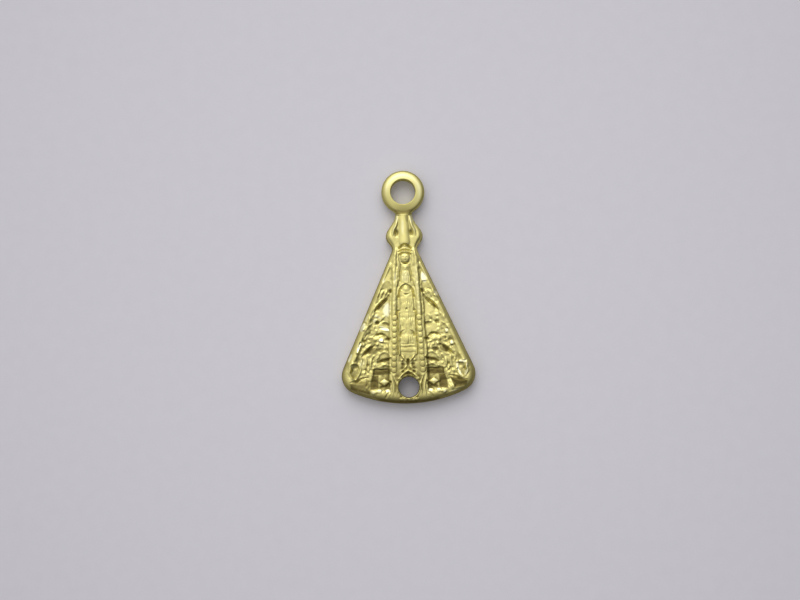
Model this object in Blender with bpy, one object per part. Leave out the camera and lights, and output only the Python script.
"""A struck brass devotional medal: a mantled figure in relief, with a hanging ring brazed to its crown.

The medal lies on its flat back. +X is to the viewer's right, +Y runs from the hem to the ring and +Z is the
struck face. Heights along the medal are measured from the lowest point of the hem, and an empty then centres
the medal on the origin. Lengths are in metres and angles in degrees.
"""

import math

import bmesh
import bpy
from mathutils import Matrix

# Outline of the struck body
MANTLE_LENGTH = 0.0132  # lowest point of the hem to the waist
MANTLE_HALF_ANGLE = 24.2  # from the axis to each straight side
WAIST_WIDTH = 0.00208
HEM_RADIUS = 0.0115
CORNER_RADIUS = 0.00155
CROWN_WIDTH = 0.00318
CROWN_RISE = 0.0011  # waist to the widest point of the crown
NECK_WIDTH = 0.00142
NECK_RISE = 0.0018  # widest point of the crown to the top of the neck

# Section of the struck body
RIM_HEIGHT = 0.0014
RIM_WIDTH = 0.0005
RIM_ROUND = 0.00042
BACK_ROUND = 0.0001
PANEL_DEPTH = 0.00035  # rim to the floor of the sunk panels
BURY = 0.00015  # depth that each raised form goes into the metal below it

# Lower hole
HOLE_DIAMETER = 0.00176
HOLE_HEIGHT = 0.0014  # hem to the centre of the hole
HOLE_RIM_WIDTH = 0.0003
HOLE_RIM_HEIGHT = 0.00012

# Hanging ring and the braze that holds it
RING_DIAMETER = 0.0037
RING_HOLE = 0.00212
RING_THICKNESS = 0.0012
RING_LIFT = 0.00072  # back of the medal to the ring's middle plane
BRAZE_LAYER = 0.0002  # metal between the neck and the ring
BRAZE_THICKNESS = 0.00095
BRAZE_CLIMB = 42.0  # how far each fillet climbs round the ring
SEAT_GAP = 0.00002
WELD_DISTANCE = 0.0000001  # points closer than this are one point

# Column of the figure
COLUMN_HALF_ANGLE = 2.9
STRIP_WIDTH = 0.00042
STRIP_HEIGHT = 0.00014
STRIP_EDGE = 0.00003  # strip to the edge of the sunk panel
STRIP_FOOT = 0.0007  # hem to the foot of each strip
BEAD_PITCH = 0.00048
BEAD_DIAMETER = 0.00038
BEAD_HEIGHT = 0.00025
BEAD_COUNT = 11
FIRST_BEAD = 0.0026  # hem to the lowest bead

# Figure, from the waist down
HEAD_LENGTH = 0.0012
HEAD_WIDTH = 0.00094
HEAD_HEIGHT = 0.0005
VEIL_WIDTH = 0.0003
VEIL_SPREAD = 0.0011  # between the middles of the two veil edges, at the shoulders
BUST_LENGTH = 0.00185
BUST_WIDTH = 0.0011
SKIRT_LENGTH = 0.00395
SKIRT_WIDTH = 0.00125
FIGURE_HEIGHT = 0.0003
SLEEVE_DROP = 0.0008
SLEEVE_WIDTH = 0.0003
ARM_WIDTH = 0.00034
HANDS_LENGTH = 0.0008
HANDS_WIDTH = 0.00036
FOLD_WIDTH = 0.00014
FOLD_HEIGHT = 0.00008
FOLD_PITCH = 0.00025
PEDESTAL_LENGTH = 0.00185
PEDESTAL_WIDTH = 0.00125
PEDESTAL_HEIGHT = 0.00022
LEAF_CROSS_LENGTH = 0.0014

# Crown
CROWN_RIB_WIDTH = 0.00085
CROWN_RIB_HEIGHT = 0.0003
CROWN_EYE_WIDTH = 0.00028
CROWN_EYE_LENGTH = 0.00095
CROWN_EYE_DEPTH = 0.0003
CROWN_EYE_LEAN = 14.0
CROWN_BAND_WIDTH = 0.00022
CROWN_BAND_HEIGHT = 0.0002
CROWN_LOBE_WIDTH = 0.0007
CROWN_LOBE_INSET = 0.0005  # edge of the crown to the middle of the lobe
CROWN_LOBE_HEIGHT = 0.00014

# Embroidery of the panels
RELIEF_HEIGHT = 0.00036
LEAF_WIDTH = 0.0009
SLIM_LEAF_WIDTH = 0.00036
VEIN_WIDTH = 0.00014
VEIN_HEIGHT = 0.00006
SCROLL_WIDTH = 0.00028
KNOT_DIAMETER = 0.00052
BUD_DIAMETER = 0.00046
HEM_KNOT_DIAMETER = 0.0006
BLOSSOM_PETAL = 0.00036
BLOSSOM_RADIUS = 0.00026
BLOSSOM_PETALS = 5
ROSETTE_PETAL = 0.0004
ROSETTE_RADIUS = 0.00038
ROSETTE_PETALS = 7
LOZENGE_LENGTH = 0.00105
LOZENGE_WIDTH = 0.0007

# Places on a panel: across is 0 at the column and 1 at the rim, up is 0 at the hem and 1 at the waist
BROAD_LEAVES = (
    ((0.34, 0.765), (1.04, 0.61)),
    ((0.72, 0.53), (0.98, 0.424)),
    ((0.55, 0.405), (0.88, 0.308)),
)
SLIM_LEAVES = (
    ((0.5, 0.178), (0.92, 0.148)),
    ((0.44, 0.162), (0.5, 0.09)),
    ((0.5, 0.53), (0.46, 0.462)),
    ((0.62, 0.53), (0.6, 0.462)),
    ((0.02, 0.42), (0.3, 0.345)),
    ((0.75, 0.255), (0.66, 0.185)),
)
SCROLLS = (
    ((0.02, 0.775), (0.5, 0.8), (1.0, 0.775)),
    ((0.03, 0.5), (0.36, 0.458), (0.7, 0.53)),
    ((0.18, 0.435), (0.38, 0.48), (0.6, 0.435)),
    ((0.02, 0.3), (0.23, 0.38), (0.4, 0.28)),
    ((0.02, 0.242), (0.2, 0.295), (0.36, 0.228)),
    ((0.42, 0.235), (0.46, 0.174), (0.36, 0.11)),
)
KNOTS = ((0.15, 0.549), (0.4, 0.557), (0.66, 0.563), (0.94, 0.571))
BUDS = (
    (0.15, 0.455), (0.72, 0.418), (0.9, 0.396), (0.4, 0.365),
    (0.57, 0.288), (0.73, 0.3), (0.5, 0.25), (0.64, 0.252), (0.54, 0.208),
)
HEM_KNOTS = ((0.06, 0.085), (0.2, 0.098), (0.34, 0.082))
BLOSSOM = (0.38, 0.41)
ROSETTE = (0.84, 0.223)
LOZENGE = (0.17, 0.144)

# Fineness of the curved stretches
HEM_STEPS = 12
CORNER_STEPS = 6
CROWN_STEPS = 6
ROUND_STEPS = 3
SWEEP_STEPS = 5
DOME_STEPS = 9
MOUND_FINENESS = 3
ARCH_STEPS = 8
HOLE_STEPS = 24
BRAZE_STEPS = 6
PROFILE_STEPS = 5
RING_STEPS = 36
RING_SECTION_STEPS = 14

MANTLE_SLOPE = math.tan(math.radians(MANTLE_HALF_ANGLE))
MANTLE_COSINE = math.cos(math.radians(MANTLE_HALF_ANGLE))
COLUMN_SLOPE = math.tan(math.radians(COLUMN_HALF_ANGLE))
FIELD_HEIGHT = RIM_HEIGHT - PANEL_DEPTH
CROWN_MIDDLE = MANTLE_LENGTH + CROWN_RISE
NECK_TOP = CROWN_MIDDLE + NECK_RISE
RING_CENTRE = NECK_TOP + BRAZE_LAYER + RING_DIAMETER / 2
MEDAL_LENGTH = RING_CENTRE + RING_DIAMETER / 2
RING_MIDDLE = (RING_DIAMETER + RING_HOLE) / 4  # radius at the middle of the ring's section
EDGE_ROUND = min(RIM_ROUND, 0.45 * NECK_WIDTH, 0.9 * RIM_HEIGHT)


# Shape of the outline

def side_x(y):
    """Half the width between the mantle's straight sides at height y."""
    return WAIST_WIDTH / 2 + (MANTLE_LENGTH - y) * MANTLE_SLOPE


def column_x(y):
    """Half the width of the figure's column at height y."""
    return WAIST_WIDTH / 2 + (MANTLE_LENGTH - y) * COLUMN_SLOPE


def panel_edge_x(y):
    """Half the width between the inner edges of the rim at height y."""
    return side_x(y) - RIM_WIDTH / MANTLE_COSINE


def panel_point(across, up):
    y = up * MANTLE_LENGTH
    return column_x(y) + across * (panel_edge_x(y) - column_x(y)), y


def corner_centre():
    """Centre of the corner's arc, which touches the straight side and the arc of the hem."""
    reach = side_x(0) - CORNER_RADIUS / MANTLE_COSINE
    inner = HEM_RADIUS - CORNER_RADIUS
    a = 1 + MANTLE_SLOPE**2
    b = reach * MANTLE_SLOPE + HEM_RADIUS
    c = reach**2 + HEM_RADIUS**2 - inner**2
    y = (b - math.sqrt(b * b - a * c)) / a
    return reach - MANTLE_SLOPE * y, y


def hem_y(x, inset):
    """Height of the hem's arc, drawn in by inset, at the distance x from the axis."""
    return HEM_RADIUS - math.sqrt((HEM_RADIUS - inset) ** 2 - x * x)


def corner_arc(inset):
    """Points of the right corner, from the hem to the straight side."""
    x, y = corner_centre()
    start = math.atan2(y - HEM_RADIUS, x)
    end = math.radians(MANTLE_HALF_ANGLE)
    radius = CORNER_RADIUS - inset
    angles = (start + (end - start) * i / CORNER_STEPS for i in range(CORNER_STEPS + 1))
    return [(x + radius * math.cos(a), y + radius * math.sin(a)) for a in angles]


def crown_edge(inset):
    """Points of the crown's right edge, from the waist to the top of the neck."""
    waist = WAIST_WIDTH / 2 - inset / MANTLE_COSINE
    crown = CROWN_WIDTH / 2 - inset
    neck = NECK_WIDTH / 2 - inset
    stations = (waist, MANTLE_LENGTH), (crown, CROWN_MIDDLE), (neck, NECK_TOP)
    points = []
    for (start, low), (end, high) in zip(stations, stations[1:]):
        for i in range(CROWN_STEPS):
            t = i / CROWN_STEPS
            ease = (1 - math.cos(math.pi * t)) / 2
            points.append((start + (end - start) * ease, low + (high - low) * t))
    return points + [stations[-1]]


def outline(inset):
    """The body's outline drawn in by inset, anticlockwise from the middle of the hem."""
    corner = corner_arc(inset)
    hem_end = corner[0][0]
    hem = [(hem_end * i / HEM_STEPS, hem_y(hem_end * i / HEM_STEPS, inset)) for i in range(HEM_STEPS)]
    right = hem + corner + crown_edge(inset)
    return right + [(-x, y) for x, y in reversed(right[1:])]


def panel_outline():
    """The right panel's sunk field, between the column, the rim and the hem."""
    apex = MANTLE_LENGTH - RIM_WIDTH / MANTLE_COSINE / (MANTLE_SLOPE - COLUMN_SLOPE)
    foot = RIM_WIDTH
    for _ in range(4):
        foot = hem_y(column_x(foot), RIM_WIDTH)
    corner = corner_arc(RIM_WIDTH)
    start, end = column_x(foot), corner[0][0]
    places = [start + (end - start) * i / HEM_STEPS for i in range(HEM_STEPS)]
    return [(column_x(apex), apex)] + [(x, hem_y(x, RIM_WIDTH)) for x in places] + corner


# Building blocks

def keep(name, bm, collection):
    """Makes an object of a bmesh and parents it to the medal's axis."""
    bmesh.ops.recalc_face_normals(bm, faces=bm.faces)
    bmesh.ops.triangulate(bm, faces=[face for face in bm.faces if len(face.verts) == 4])
    mesh = bpy.data.meshes.new(name)
    bm.to_mesh(mesh)
    bm.free()
    obj = bpy.data.objects.new(name, mesh)
    collection.objects.link(obj)
    obj.parent = bpy.data.objects["medal_axis"]
    return obj


def helper(name, bm, collection):
    """An object that only shapes another one."""
    obj = keep(name, bm, collection)
    obj.hide_render = True
    obj.display_type = "WIRE"
    return obj


def skin(sections, closed=False):
    """A bmesh over sections with equally many points each, capped at its ends unless it closes on itself."""
    bm = bmesh.new()
    rings = [[bm.verts.new(point) for point in section] for section in sections]
    pairs = list(zip(rings, rings[1:] + rings[:1]))
    for low, high in pairs if closed else pairs[:-1]:
        for i in range(len(low)):
            bm.faces.new((low[i - 1], low[i], high[i], high[i - 1]))
    if not closed:
        bm.faces.new(rings[0])
        bm.faces.new(rings[-1])
    return bm


def prism(points, low, high):
    return skin([[(x, y, z) for x, y in points] for z in (low, high)])


ROUND_ANGLES = [math.pi * i / PROFILE_STEPS for i in range(PROFILE_STEPS + 1)]
ROUND_PROFILE = [(math.cos(a), math.sin(a)) for a in ROUND_ANGLES]
LEAF_PROFILE = [(1, 0), (0.82, 0.62), (0, 1), (-0.82, 0.62), (-1, 0)]


def sweep(path, profile, width, height, base, taper):
    """A raised form along a path. taper gives its share of the full width and height at 0 to 1 of the way."""
    sections = []
    last = len(path) - 1
    for i, (x, y) in enumerate(path):
        before, after = path[max(i - 1, 0)], path[min(i + 1, last)]
        along = math.hypot(after[0] - before[0], after[1] - before[1])
        nx, ny = (before[1] - after[1]) / along, (after[0] - before[0]) / along
        share = taper(i / last)
        half = share * width / 2
        rise = BURY + share * height
        sections.append([(x + nx * a * half, y + ny * a * half, base - BURY + b * rise) for a, b in profile])
    return skin(sections)


def full(_):
    return 1.0


def pointed(t):
    return max(0.15, math.sin(math.pi * t) ** 0.7)


def budded(t):
    """Broadest near the start, pointed at the end."""
    return max(0.15, math.sin(math.pi * t**0.7) ** 0.8)


def between(start, end, share):
    return start[0] + (end[0] - start[0]) * share, start[1] + (end[1] - start[1]) * share


def line(start, end, steps=1):
    return [between(start, end, i / steps) for i in range(steps + 1)]


def bow(start, pull, end):
    """Points of a quadratic Bezier curve."""
    points = []
    for i in range(SWEEP_STEPS + 1):
        t = i / SWEEP_STEPS
        a, b, c = (1 - t) ** 2, 2 * t * (1 - t), t * t
        points.append((a * start[0] + b * pull[0] + c * end[0], a * start[1] + b * pull[1] + c * end[1]))
    return points


def dome(place, diameter, height, base):
    """A small round boss with a slightly flattened top."""
    levels = ((1.0, base - BURY), (0.88, base + 0.55 * height), (0.38, base + height))
    angles = [2 * math.pi * i / DOME_STEPS for i in range(DOME_STEPS)]
    x, y = place
    sections = []
    for share, z in levels:
        radius = share * diameter / 2
        sections.append([(x + radius * math.cos(a), y + radius * math.sin(a), z) for a in angles])
    return skin(sections)


def mound(place, size, base, lean=0.0):
    """An ellipsoid with its middle at the height base. size is its width, its length and its height."""
    bm = bmesh.new()
    bmesh.ops.create_icosphere(bm, subdivisions=MOUND_FINENESS, radius=1)
    shape = Matrix.Diagonal((size[0] / 2, size[1] / 2, size[2], 1))
    turned = Matrix.Rotation(math.radians(lean), 4, "Z") @ shape
    bmesh.ops.transform(bm, matrix=Matrix.Translation((*place, base)) @ turned, verts=bm.verts)
    return bm


def lozenge(place, width, length, height, base):
    """A four-sided pyramid with a blunt top."""
    corners = ((1, 0), (0, 1), (-1, 0), (0, -1))
    levels = ((1.25, base - BURY), (1.0, base + 0.2 * height), (0.15, base + height))
    sections = []
    for share, z in levels:
        reach = share * width / 2, share * length / 2
        sections.append([(place[0] + x * reach[0], place[1] + y * reach[1], z) for x, y in corners])
    return skin(sections)


# Relief of the struck face

def embroider(relief, side):
    """The ornament of one panel. side is 1 on the right and -1 on the left."""

    def at(place):
        x, y = panel_point(*place)
        return side * x, y

    def add(bm):
        helper("embroidery", bm, relief)

    def grow(path, profile, width, taper):
        add(sweep(path, profile, width, RELIEF_HEIGHT, FIELD_HEIGHT, taper))

    def flower(centre, radius, petal, count):
        for i in range(count):
            turn = 2 * math.pi * i / count
            place = centre[0] + side * radius * math.sin(turn), centre[1] + radius * math.cos(turn)
            add(dome(place, petal, RELIEF_HEIGHT, FIELD_HEIGHT))

    for start, end in BROAD_LEAVES:
        root, tip = at(start), at(end)
        grow(line(root, tip, SWEEP_STEPS), LEAF_PROFILE, LEAF_WIDTH, budded)
        rib = line(between(root, tip, 0.11), between(root, tip, 0.73))
        add(sweep(rib, ROUND_PROFILE, VEIN_WIDTH, RELIEF_HEIGHT + VEIN_HEIGHT, FIELD_HEIGHT, full))
    for start, end in SLIM_LEAVES:
        grow(line(at(start), at(end), SWEEP_STEPS), LEAF_PROFILE, SLIM_LEAF_WIDTH, pointed)
    for places in SCROLLS:
        grow(bow(*map(at, places)), ROUND_PROFILE, SCROLL_WIDTH, pointed)
    for places, diameter in ((KNOTS, KNOT_DIAMETER), (BUDS, BUD_DIAMETER), (HEM_KNOTS, HEM_KNOT_DIAMETER)):
        for place in places:
            add(dome(at(place), diameter, RELIEF_HEIGHT, FIELD_HEIGHT))
    flower(at(ROSETTE), ROSETTE_RADIUS, ROSETTE_PETAL, ROSETTE_PETALS)
    flower(at(BLOSSOM), BLOSSOM_RADIUS, BLOSSOM_PETAL, BLOSSOM_PETALS)
    add(lozenge(at(LOZENGE), LOZENGE_LENGTH, LOZENGE_WIDTH, RELIEF_HEIGHT, FIELD_HEIGHT))


def edge_strip(relief, side):
    """The raised strip that borders the column, with its row of beads."""
    points = []
    for y, inner in ((STRIP_FOOT, 1), (STRIP_FOOT, 0), (MANTLE_LENGTH, 0), (MANTLE_LENGTH, 1)):
        points.append((side * (column_x(y) - STRIP_EDGE - inner * STRIP_WIDTH), y))
    helper("edge_strip", prism(points, RIM_HEIGHT - BURY, RIM_HEIGHT + STRIP_HEIGHT), relief)
    for i in range(BEAD_COUNT):
        y = FIRST_BEAD + i * BEAD_PITCH
        place = side * (column_x(y) - STRIP_EDGE - STRIP_WIDTH / 2), y
        helper("bead", dome(place, BEAD_DIAMETER, BEAD_HEIGHT, RIM_HEIGHT), relief)


def figure(relief):
    """The standing figure: head, veil, bust with joined hands, skirt and pedestal, from the top down."""
    head_foot = MANTLE_LENGTH - HEAD_LENGTH
    bust_foot = head_foot - BUST_LENGTH
    skirt_foot = bust_foot - SKIRT_LENGTH
    pedestal_foot = skirt_foot - PEDESTAL_LENGTH

    def raised(path, width, height, taper=full, profile=ROUND_PROFILE):
        helper("figure", sweep(path, profile, width, height, RIM_HEIGHT, taper), relief)

    def rounded(place, width, length, height):
        helper("figure", mound(place, (width, length, height), RIM_HEIGHT), relief)

    rounded((0, head_foot + HEAD_LENGTH / 2), HEAD_WIDTH, HEAD_LENGTH, HEAD_HEIGHT)
    bust = line((0, head_foot), (0, bust_foot - BURY))
    raised(bust, BUST_WIDTH, FIGURE_HEIGHT, lambda t: 0.7 + 0.3 * t)
    skirt = line((0, bust_foot + BURY), (0, skirt_foot))
    raised(skirt, SKIRT_WIDTH, FIGURE_HEIGHT, lambda t: 0.85 + 0.15 * t)
    hands = 0, head_foot - BUST_LENGTH / 2
    rounded(hands, HANDS_WIDTH, HANDS_LENGTH, FIGURE_HEIGHT + 3 * FOLD_HEIGHT)
    for side in (1, -1):
        brow = side * (HEAD_WIDTH + VEIL_WIDTH) / 2, MANTLE_LENGTH - HEAD_LENGTH / 4
        shoulder = side * VEIL_SPREAD / 2, head_foot
        veil_end = side * (VEIL_SPREAD + VEIL_WIDTH) / 2, bust_foot
        raised(bow(brow, shoulder, veil_end), VEIL_WIDTH, HEAD_HEIGHT * 0.6)
        elbow = side * BUST_WIDTH / 2, hands[1] - HANDS_LENGTH / 2
        raised(bow(shoulder, elbow, hands), ARM_WIDTH, FIGURE_HEIGHT + FOLD_HEIGHT)
        sleeve_end = side * BUST_WIDTH / 2, bust_foot - SLEEVE_DROP
        raised(line((0, bust_foot + FOLD_WIDTH), sleeve_end), SLEEVE_WIDTH, FIGURE_HEIGHT + FOLD_HEIGHT)
    folds = int(0.45 * SKIRT_WIDTH / FOLD_PITCH)
    for i in range(-folds, folds + 1):
        top = i * FOLD_PITCH * 0.75, bust_foot - SLEEVE_DROP
        foot = i * FOLD_PITCH, skirt_foot + FOLD_WIDTH
        fall = math.sqrt(1 - (2 * i * FOLD_PITCH / SKIRT_WIDTH) ** 2)
        raised(line(top, foot), FOLD_WIDTH, fall * FIGURE_HEIGHT + FOLD_HEIGHT)

    half = PEDESTAL_WIDTH / 2
    angles = [math.pi * i / ARCH_STEPS for i in range(ARCH_STEPS + 1)]
    arch = [(half * math.cos(a), skirt_foot - half * (1 - math.sin(a))) for a in angles]
    block = [(half, pedestal_foot)] + arch + [(-half, pedestal_foot)]
    helper("figure", prism(block, RIM_HEIGHT - BURY, RIM_HEIGHT + PEDESTAL_HEIGHT), relief)
    raised(arch, SLEEVE_WIDTH, PEDESTAL_HEIGHT + FOLD_HEIGHT)
    for i in (1, 2):
        y = pedestal_foot + i * PEDESTAL_LENGTH / 5
        raised(line((-half, y), (half, y)), FOLD_WIDTH, PEDESTAL_HEIGHT + FOLD_HEIGHT)
    for side in (1, -1):
        start = side * half, pedestal_foot - FOLD_WIDTH
        end = -side * half, pedestal_foot - FOLD_WIDTH - LEAF_CROSS_LENGTH
        raised(line(start, end, SWEEP_STEPS), SLIM_LEAF_WIDTH, PEDESTAL_HEIGHT, pointed, LEAF_PROFILE)


def crown(relief):
    """The crown's middle rib, its side lobes and the two bands at its base."""

    def raised(path, width, height, taper=full):
        helper("crown", sweep(path, ROUND_PROFILE, width, height, RIM_HEIGHT, taper), relief)

    rib = line((0, MANTLE_LENGTH + CROWN_BAND_WIDTH), (0, NECK_TOP - BURY))
    raised(rib, CROWN_RIB_WIDTH, CROWN_RIB_HEIGHT, lambda t: 1 - 0.25 * t)
    for side in (1, -1):
        edge = [(side * x, y) for x, y in crown_edge(CROWN_LOBE_INSET)]
        raised(edge, CROWN_LOBE_WIDTH, CROWN_LOBE_HEIGHT, pointed)
    reach = WAIST_WIDTH / 2 - EDGE_ROUND
    for i in range(2):
        y = MANTLE_LENGTH + i * 1.5 * CROWN_BAND_WIDTH
        raised(bow((-reach, y), (0, y + CROWN_BAND_WIDTH), (reach, y)), CROWN_BAND_WIDTH, CROWN_BAND_HEIGHT)


def hole_rim(relief):
    """The low raised lip round the lower hole."""
    radius = HOLE_DIAMETER / 2 + HOLE_RIM_WIDTH
    circle = [2 * math.pi * i / HOLE_STEPS for i in range(HOLE_STEPS)]
    levels = ((radius, -BURY), (radius, HOLE_RIM_HEIGHT / 2), (radius - HOLE_RIM_WIDTH / 2, HOLE_RIM_HEIGHT))
    sections = []
    for reach, rise in levels:
        z = RIM_HEIGHT + rise
        sections.append([(reach * math.cos(a), HOLE_HEIGHT + reach * math.sin(a), z) for a in circle])
    helper("hole_rim", skin(sections), relief)


def cut_panels(recesses):
    """Cutters for the two sunk panels."""
    for side in (1, -1):
        points = [(side * x, y) for x, y in panel_outline()]
        helper("panel_recess", prism(points, FIELD_HEIGHT, RIM_HEIGHT + BURY), recesses)


def cut_holes(holes):
    """Cutters for the lower hole and the crown's two openings."""
    radius = HOLE_DIAMETER / 2
    angles = [2 * math.pi * i / HOLE_STEPS for i in range(HOLE_STEPS)]
    circle = [(radius * math.cos(a), HOLE_HEIGHT + radius * math.sin(a)) for a in angles]
    helper("lower_hole", prism(circle, -BURY, 2 * RIM_HEIGHT), holes)
    for side in (1, -1):
        place = side * (CROWN_RIB_WIDTH + CROWN_EYE_WIDTH) / 2, CROWN_MIDDLE + CROWN_EYE_LENGTH / 4
        size = CROWN_EYE_WIDTH, CROWN_EYE_LENGTH, CROWN_EYE_DEPTH
        helper("crown_eye", mound(place, size, RIM_HEIGHT, side * CROWN_EYE_LEAN), holes)


def combine(obj, operation, collection):
    """Joins or cuts with a collection. This solver keeps many small overlapping forms one closed skin."""
    modifier = obj.modifiers.new(collection.name, "BOOLEAN")
    modifier.operation = operation
    modifier.solver = "MANIFOLD"
    modifier.operand_type = "COLLECTION"
    modifier.collection = collection


def seal(obj):
    """Merges points that fall together."""
    weld = obj.modifiers.new("weld", "WELD")
    weld.merge_threshold = WELD_DISTANCE


def finish(obj, name, colour, roughness):
    """Gives a piece its own metal and smooth shading between its creases."""
    metal = bpy.data.materials.new(name)
    metal.use_nodes = True
    shader = metal.node_tree.nodes["Principled BSDF"]
    shader.inputs["Base Color"].default_value = (*colour, 1)
    shader.inputs["Roughness"].default_value = roughness
    shader.inputs["Metallic"].default_value = 1.0
    obj.data.materials.append(metal)
    obj.data.shade_smooth()
    obj.data.set_sharp_from_angle(angle=math.radians(40))


def new_collection(name):
    collection = bpy.data.collections.new(name)
    bpy.context.scene.collection.children.link(collection)
    return collection


# The three pieces

def struck_body(pieces):
    """The plate with its rounded rim, sunk panels, relief and lower hole."""
    levels = [(BACK_ROUND, 0.0), (0.0, BACK_ROUND)]
    for i in range(ROUND_STEPS + 1):
        a = math.pi / 2 * i / ROUND_STEPS
        levels.append((EDGE_ROUND * (1 - math.cos(a)), RIM_HEIGHT - EDGE_ROUND * (1 - math.sin(a))))
    body = keep("struck_body", skin([[(x, y, z) for x, y in outline(inset)] for inset, z in levels]), pieces)

    recesses, relief, holes = map(new_collection, ("recesses", "relief", "holes"))
    cut_panels(recesses)
    for side in (1, -1):
        embroider(relief, side)
        edge_strip(relief, side)
    figure(relief)
    crown(relief)
    hole_rim(relief)
    cut_holes(holes)
    combine(body, "DIFFERENCE", recesses)
    combine(body, "UNION", relief)
    combine(body, "DIFFERENCE", holes)
    seal(body)
    finish(body, "struck_brass", (0.66, 0.56, 0.2), 0.3)


def ring_skin(grow):
    """The ring's rounded section turned about its own axis, larger all round by grow."""
    half_width = (RING_DIAMETER - RING_HOLE) / 4 + grow
    half_depth = RING_THICKNESS / 2 + grow
    sections = []
    for i in range(RING_STEPS):
        turn = 2 * math.pi * i / RING_STEPS
        section = []
        for k in range(RING_SECTION_STEPS):
            a = 2 * math.pi * k / RING_SECTION_STEPS
            radius = RING_MIDDLE + half_width * math.cos(a)
            z = RING_LIFT + half_depth * math.sin(a)
            section.append((radius * math.sin(turn), RING_CENTRE - radius * math.cos(turn), z))
        sections.append(section)
    return skin(sections, closed=True)


def hanging_ring(pieces):
    ring = keep("hanging_ring", ring_skin(0), pieces)
    finish(ring, "ring_brass", (0.64, 0.55, 0.22), 0.28)


def ring_reach(z):
    """Radius of the ring's outer side at the height z from its middle plane."""
    bulge = math.sqrt(max(0.0, 1 - (2 * z / RING_THICKNESS) ** 2))
    return RING_MIDDLE + (RING_DIAMETER / 2 - RING_MIDDLE) * bulge


def braze_fillet(pieces):
    """The braze between neck and ring, hollowed by the ring and climbing a little way round it."""
    foot = NECK_TOP + SEAT_GAP
    climb = math.radians(BRAZE_CLIMB)
    angles = [climb * (1 - 2 * i / ARCH_STEPS) for i in range(ARCH_STEPS + 1)]
    inside = [(RING_MIDDLE * math.sin(a), RING_CENTRE - RING_MIDDLE * math.cos(a)) for a in angles]
    sections = []
    for i in range(BRAZE_STEPS + 1):
        z = BRAZE_THICKNESS * (i / BRAZE_STEPS - 0.5)
        reach = ring_reach(z)
        top = reach * math.sin(climb), RING_CENTRE - reach * math.cos(climb)
        half = NECK_WIDTH / 2 - EDGE_ROUND * (1 - math.sqrt(1 - (2 * z / BRAZE_THICKNESS) ** 2)) / 2
        right = bow((half, foot), (half, foot + (top[1] - foot) / 2), top)
        points = right + inside + [(-x, y) for x, y in reversed(right)]
        sections.append([(x, y, RING_LIFT + z) for x, y in points])
    braze = keep("braze_fillet", skin(sections), pieces)
    seat = new_collection("ring_seat")
    helper("ring_seat", ring_skin(SEAT_GAP), seat)
    combine(braze, "DIFFERENCE", seat)
    seal(braze)
    finish(braze, "braze_metal", (0.7, 0.62, 0.3), 0.35)


def main():
    for obj in list(bpy.data.objects):
        bpy.data.objects.remove(obj)
    axis = bpy.data.objects.new("medal_axis", None)
    axis.location.y = -MEDAL_LENGTH / 2
    pieces = bpy.context.scene.collection
    pieces.objects.link(axis)
    struck_body(pieces)
    hanging_ring(pieces)
    braze_fillet(pieces)


main()
